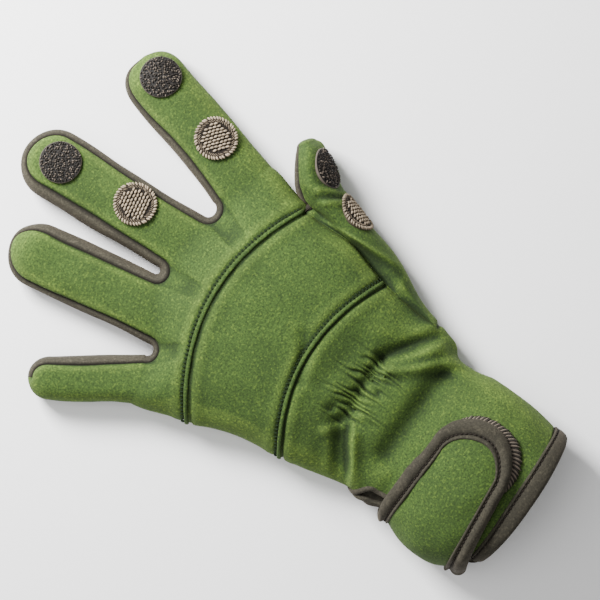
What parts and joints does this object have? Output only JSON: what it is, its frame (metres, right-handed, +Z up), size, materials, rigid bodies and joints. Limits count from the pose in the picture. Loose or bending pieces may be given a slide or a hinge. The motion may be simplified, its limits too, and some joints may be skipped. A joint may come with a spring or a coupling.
{
  "type": "fishing glove",
  "caption": "Left fishing glove in neoprene and synthetic suede, with fold-back tips on thumb and two fingers, gathered wrist and hook-and-loop strap.",
  "frame": {"origin": "centre of the bottom of the box round the glove, on the surface that it lies on", "axes": "+X towards the thumb side, +Y towards the fingertips, +Z up, out of the back of the hand"},
  "size_m": [0.1614, 0.274, 0.0482],
  "materials": {
    "jersey_neoprene": "matt brushed jersey on foam rubber",
    "suede": "matt synthetic suede",
    "hook_tape": "hook side of touch fastener",
    "loop_tape": "loop side of touch fastener"
  },
  "bodies": {
    "root": {"back_finger_panel": "jersey_neoprene", "back_middle_panel": "jersey_neoprene", "back_wrist_panel": "jersey_neoprene", "palm_panel": "suede", "index_cap_underside": "suede", "middle_cap_underside": "suede", "gusset_little_ring": "suede", "gusset_ring_middle": "suede", "gusset_middle_index": "suede", "thumb_back": "jersey_neoprene", "thumb_palm": "suede", "thumb_cap_underside": "suede", "cuff_palm_panel": "suede", "cuff_binding": "suede", "knuckle_seam": "jersey_neoprene", "wrist_seam": "jersey_neoprene", "wrist_strap": "jersey_neoprene", "strap_binding": "suede", "strap_hook_patch": "hook_tape", "index_hook_dot": "hook_tape", "middle_hook_dot": "hook_tape", "thumb_hook_dot": "hook_tape", "index_loop_dot": "loop_tape", "middle_loop_dot": "loop_tape", "thumb_loop_dot": "loop_tape"}
  },
  "joints": []
}
